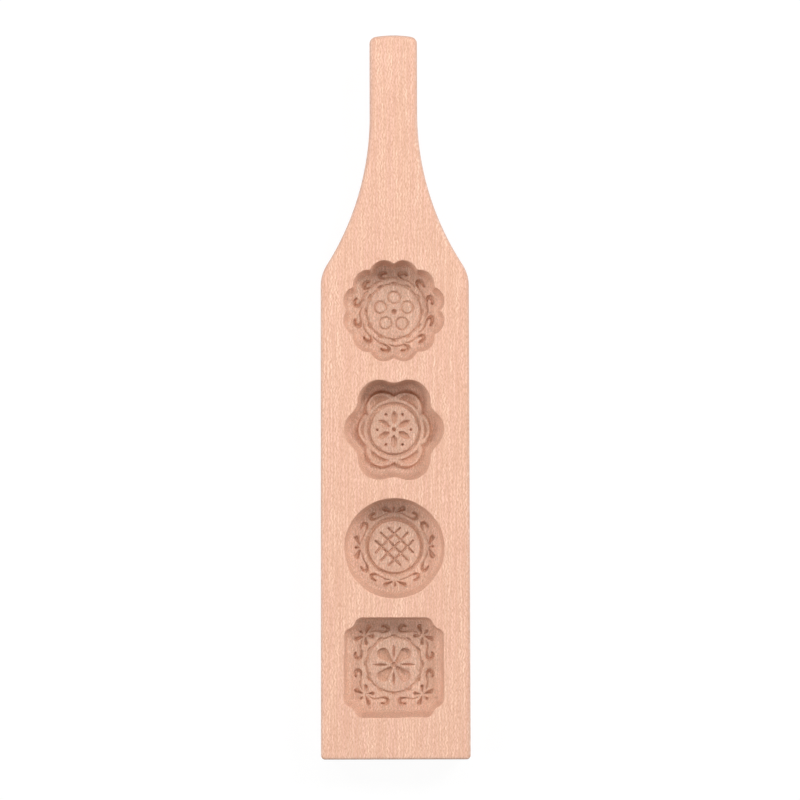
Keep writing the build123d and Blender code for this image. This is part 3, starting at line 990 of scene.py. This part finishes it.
# Materials
class Nodes:
    """A short way to write the node tree of a material or a world."""

    def __init__(self, owner):
        self.owner = owner
        owner.use_nodes = True
        self.tree = owner.node_tree
        self.tree.nodes.clear()

    def add(self, kind, inputs=(), **settings):
        node = self.tree.nodes.new("ShaderNode" + kind)
        for key, value in settings.items():
            setattr(node, key, value)
        for key, value in dict(inputs).items():
            if isinstance(value, bpy.types.NodeSocket):
                self.tree.links.new(value, node.inputs[key])
            else:
                node.inputs[key].default_value = value
        return node

    def math(self, operation, *values, clamp=False):
        node = self.add("Math", enumerate(values), operation=operation, use_clamp=clamp)
        return node.outputs[0]

    def span(self, value, low, high, to_low=0.0, to_high=1.0):
        """The value mapped smoothly from one span to another."""
        spans = {"From Min": low, "From Max": high, "To Min": to_low, "To Max": to_high}
        node = self.add("MapRange", {"Value": value, **spans}, interpolation_type="SMOOTHSTEP")
        return node.outputs["Result"]

    def mix(self, factor, first, second, blend="MIX"):
        """Two colours mixed. The node has sockets for other data as well, hence the numbers."""
        inputs = {0: factor, 6: first, 7: second}
        node = self.add("Mix", inputs, data_type="RGBA", blend_type=blend)
        return node.outputs[2]

    def seen(self):
        """1 for what the camera sees, directly, in a reflection or through glass."""
        path = self.add("LightPath").outputs
        indirectly = self.math("MAXIMUM", path["Is Glossy Ray"], path["Is Transmission Ray"])
        return self.math("MAXIMUM", path["Is Camera Ray"], indirectly)


def linear(red, green, blue):
    """A colour from its 0 to 255 display values."""

    def one(value):
        value = value / 255
        return value / 12.92 if value <= 0.04045 else ((value + 0.055) / 1.055) ** 2.4

    return (one(red), one(green), one(blue), 1.0)


# The wood's features and their sizes along X, Y and Z, in millimetres
grain_swing_size = (30, 130, 30)
tone_size = (26, 160, 26)
streak_size = (3.5, 45, 3.5)
long_fibre_size = (0.9, 36, 0.9)
fibre_size = (0.6, 4.0, 0.6)
fine_fibre_size = (0.30, 1.4, 0.30)
fleck_size = (0.8, 3.0, 0.8)
ray_wander_size = (6.0, 3.0, 6.0)
cut_speckle_size = (0.5, 0.7, 2.0)
knife_mark_size = (2.2, 2.2, 2.2)

# Its other lengths, in millimetres
year_ring = 3.1
year_ring_swing = 16.0  # how far the rings swing to the side
pith_depth = 70.0  # the tree's middle lies this far under the board
ray_stroke = 1.5  # from one wavy stroke of the grain to the next
ray_stroke_wander = 3.6
knife_step = 1.5  # from one low step on a wall to the next
knife_step_wander = 1.6
bump_height = 0.16

# Colours in the wood, and what they are multiplied by: in the cavities, where the wood is cut
# across its fibres and painted shade darkens it, and as painted shade in the pockets and on the
# sides
pale_wood = (255, 220, 198)
other_pale_wood = (252, 213, 188)
streak_wood = (249, 205, 187)
warm_wood = (231, 183, 157)
dark_wood = (196, 140, 113)
cut_and_shade_deep = (0.765, 0.815, 0.83, 1.0)
cut_and_shade_light = (0.975, 1.0, 1.0, 1.0)
pocket_shade_tint = (0.92, 0.86, 0.82, 1.0)
side_shade_tint = (0.80, 0.85, 0.90, 1.0)


def beech():
    n = Nodes(bpy.data.materials.new("beech"))
    place = n.add("TexCoord").outputs["Object"]
    millimetres = n.add("Mapping", {"Vector": place, "Scale": (1000, 1000, 1000)}).outputs[0]

    def mapped(size, offset=(0, 0, 0)):
        """Coordinates in which the given lengths along X, Y and Z, in millimetres, are one."""
        frequency = tuple(1 / length for length in size)
        inputs = {"Vector": millimetres, "Scale": frequency, "Location": offset}
        return n.add("Mapping", inputs).outputs[0]

    def noise(size, detail=2.0, roughness=0.5, offset=(0, 0, 0)):
        """Noise whose features have about the given sizes along X, Y and Z, in millimetres."""
        at = mapped(size, offset)
        settings = {"Vector": at, "Scale": 1.0, "Detail": detail, "Roughness": roughness}
        return n.add("TexNoise", settings).outputs["Fac"]

    # Slow swings of the grain, then year rings, fibres and the short dark flecks of beech
    swing = noise(grain_swing_size, 1.0)
    parts = n.add("SeparateXYZ", {"Vector": millimetres}).outputs
    bent = n.math("MULTIPLY_ADD", swing, year_ring_swing, parts["X"])
    height = n.math("ADD", parts["Z"], pith_depth)
    squares = n.math("ADD", n.math("POWER", bent, 2.0), n.math("POWER", height, 2.0))
    from_pith = n.math("SQRT", squares)
    rings = n.math("SINE", n.math("MULTIPLY", from_pith, 2 * pi / year_ring))
    ring_tone = n.span(rings, -1.0, 1.0)
    tone = noise(tone_size, 2.0, offset=(3, 1, 7))
    streak = noise(streak_size, 2.0, offset=(2, 8, 5))
    long_fibre = noise(long_fibre_size, 3.0, 0.6, offset=(4, 4, 9))
    wander = noise(ray_wander_size, 1.0, offset=(7, 3, 1))
    across = n.math("ADD", parts["X"], parts["Z"])
    stroke_phase = n.math("MULTIPLY_ADD", wander, ray_stroke_wander, across)
    strokes = n.math("SINE", n.math("MULTIPLY", stroke_phase, 2 * pi / ray_stroke))
    fibre = noise(fibre_size, 3.0, 0.6)
    fine_fibre = noise(fine_fibre_size, 2.0, 0.6, offset=(5, 2, 3))
    cells = {"Vector": mapped(fleck_size), "Scale": 1.0, "Randomness": 1.0}
    fleck_noise = n.add("TexVoronoi", cells, feature="F1")
    fleck = n.span(fleck_noise.outputs["Distance"], 0.14, 0.36, 1.0, 0.0)

    # Each layer is mixed in where its noise is high, and its last number is its strength there
    warm = linear(*warm_wood)
    dark = linear(*dark_wood)
    colour = n.mix(n.span(tone, 0.35, 0.65), linear(*pale_wood), linear(*other_pale_wood))
    colour = n.mix(n.span(streak, 0.40, 0.62, 0.0, 0.9), colour, linear(*streak_wood))
    colour = n.mix(n.math("MULTIPLY", ring_tone, 0.12), colour, warm)
    colour = n.mix(n.span(long_fibre, 0.40, 0.62, 0.0, 0.45), colour, dark)
    colour = n.mix(n.span(strokes, -1.0, 1.0, 0.0, 0.95), colour, warm)
    colour = n.mix(n.span(fibre, 0.36, 0.66, 0.0, 0.45), colour, warm)
    colour = n.mix(n.span(fine_fibre, 0.42, 0.66, 0.0, 0.50), colour, dark)
    colour = n.mix(n.math("MULTIPLY", fleck, 0.25), colour, dark)

    # Cut across the fibres, the walls are a little deeper in colour, and painted shade darkens the
    # cavities further; painted shade also darkens the pockets, the trough beside the raised step
    # and the board's sides
    depth = n.add("Attribute", attribute_name="carved").outputs["Fac"]
    pocket_shade_mask = n.add("Attribute", attribute_name="pocket_shade").outputs["Fac"]
    side = n.add("Attribute", attribute_name="side_shade").outputs["Fac"]
    speckle = noise(cut_speckle_size, 2.0, 0.6, offset=(9, 6, 2))
    cut_and_shade_tone = n.mix(n.span(speckle, 0.35, 0.65), cut_and_shade_deep, cut_and_shade_light)
    # the cut wood's own deeper colour, and partly painted shade in the cavities
    colour = n.mix(n.span(depth, 0.0, 0.1), colour, cut_and_shade_tone, blend="MULTIPLY")
    # painted shade in the pockets and in the trough beside the raised step
    colour = n.mix(pocket_shade_mask, colour, pocket_shade_tint, blend="MULTIPLY")
    # painted shade on the board's sides and rounded edges
    colour = n.mix(side, colour, side_shade_tint, blend="MULTIPLY")

    # The knife leaves low steps round the walls
    inset = n.add("Attribute", attribute_name="inset").outputs["Fac"]
    marks = noise(knife_mark_size, 2.0, 0.5, offset=(1, 9, 4))
    strayed_inset = n.math("MULTIPLY_ADD", marks, knife_step_wander, inset)
    steps = n.math("SINE", n.math("MULTIPLY", strayed_inset, 2 * pi / knife_step))
    on_wall = n.math("MULTIPLY", n.span(depth, 0.03, 0.2), n.span(depth, 0.97, 1.0, 1.0, 0.0))
    step_height = n.math("MULTIPLY", steps, n.math("MULTIPLY", on_wall, 0.35))
    grain_height = n.math("MULTIPLY_ADD", fibre, 0.5, n.math("MULTIPLY", fine_fibre, 0.35))
    grain_height = n.math("SUBTRACT", grain_height, n.math("MULTIPLY", fleck, 0.25))
    grain_height = n.math("ADD", grain_height, step_height)
    height_map = n.math("MULTIPLY_ADD", n.math("MULTIPLY", marks, depth), 0.8, grain_height)
    relief = {"Height": height_map, "Strength": 0.55, "Distance": bump_height * MM}
    surface = {
        "Base Color": colour,
        "Roughness": n.span(fibre, 0.3, 0.75, 0.52, 0.66),
        "Normal": n.add("Bump", relief).outputs[0],
        "Specular IOR Level": 0.3,
    }
    n.add("OutputMaterial", {"Surface": n.add("BsdfPrincipled", surface).outputs[0]})
    return n.owner


floor_grey = (0.80, 0.80, 0.80, 1.0)
seen_floor_grey = (0.10, 0.10, 0.10, 1.0)  # the part of the seen floor that takes a shadow
seen_floor_glow = 0.915
white = (1.0, 1.0, 1.0, 1.0)


def pale_floor():
    """A plain pale floor that the camera sees as white, with the object's shadow on it."""
    n = Nodes(bpy.data.materials.new("pale_floor"))
    plain = n.add("BsdfDiffuse", {"Color": floor_grey}).outputs[0]
    shaded = n.add("BsdfDiffuse", {"Color": seen_floor_grey}).outputs[0]
    glow = n.add("Emission", {"Color": white, "Strength": seen_floor_glow}).outputs[0]
    bright = n.add("AddShader", {0: shaded, 1: glow}).outputs[0]
    mixed = n.add("MixShader", {0: n.seen(), 1: plain, 2: bright}).outputs[0]
    n.add("OutputMaterial", {"Surface": mixed})
    return n.owner


board.data.materials.append(beech())
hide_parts("mold_board")
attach(board, "root")

# Floor
floor_half = 3.0
floor_gap = 0.0002
floor_mesh = bpy.data.meshes.new("floor")
floor_corners = [
    (-floor_half, -floor_half, 0.0),
    (floor_half, -floor_half, 0.0),
    (floor_half, floor_half, 0.0),
    (-floor_half, floor_half, 0.0),
]
floor_mesh.from_pydata(floor_corners, [], [(0, 1, 2, 3)])
floor = bpy.data.objects.new("floor", floor_mesh)
floor.location.z = board_low.z * MM - floor_gap
floor.data.materials.append(pale_floor())
bpy.context.scene.collection.objects.link(floor)

# Light
lamp_distance = 2.2
lamp_size = 0.8
room_strength = 0.04
lamps = [
    # name, degrees from +X towards +Y, degrees above the floor, watts
    ("right_low", 0, 19, 18.7),
    ("left_low", 180, 21, 18.6),
    ("upper_right", 45, 42, 20.5),
    ("upper_left", 135, 42, 10.6),
    ("left_high", 180, 42, 4.4),
    ("top", 90, 54, 8.2),
    ("bottom_high", 270, 66, 10.6),
]
for name, around, above, watts in lamps:
    lamp = bpy.data.lights.new(name, "AREA")
    lamp.shape = "DISK"
    lamp.size = lamp_size
    lamp.energy = watts
    level = cos(radians(above)) * lamp_distance
    towards = ray(radians(around)) * level
    place = Vector((towards[0], towards[1], sin(radians(above)) * lamp_distance))
    lamp_object = bpy.data.objects.new(name, lamp)
    lamp_object.location = place
    lamp_object.rotation_mode = "QUATERNION"
    lamp_object.rotation_quaternion = place.to_track_quat("Z", "Y")
    bpy.context.scene.collection.objects.link(lamp_object)


def pale_room():
    """A little even light from all around, and white where the camera looks past the floor."""
    n = Nodes(bpy.data.worlds.new("pale_room"))
    light = n.add("Background", {"Color": white, "Strength": room_strength}).outputs[0]
    backdrop = n.add("Background", {"Color": white, "Strength": 1.0}).outputs[0]
    mixed = n.add("MixShader", {0: n.seen(), 1: light, 2: backdrop}).outputs[0]
    n.add("OutputWorld", {"Surface": mixed})
    return n.owner


bpy.context.scene.world = pale_room()

# Camera, straight above
camera_height = 1.1  # above the face
frame_width = 0.4004  # how much the picture shows at the height of the face
camera_aim = (0.0025, -0.0014)  # X and Y of the picture's middle
camera_roll = radians(-0.13)
camera_data = bpy.data.cameras.new("camera")
camera_data.sensor_width = 36.0
camera_data.lens = camera_data.sensor_width * camera_height / frame_width
camera = bpy.data.objects.new("camera", camera_data)
camera.location = (*camera_aim, board_high.z * MM + camera_height)
camera.rotation_euler = (0.0, 0.0, camera_roll)
bpy.context.scene.collection.objects.link(camera)
bpy.context.scene.camera = camera
bpy.context.scene.view_settings.view_transform = "Standard"
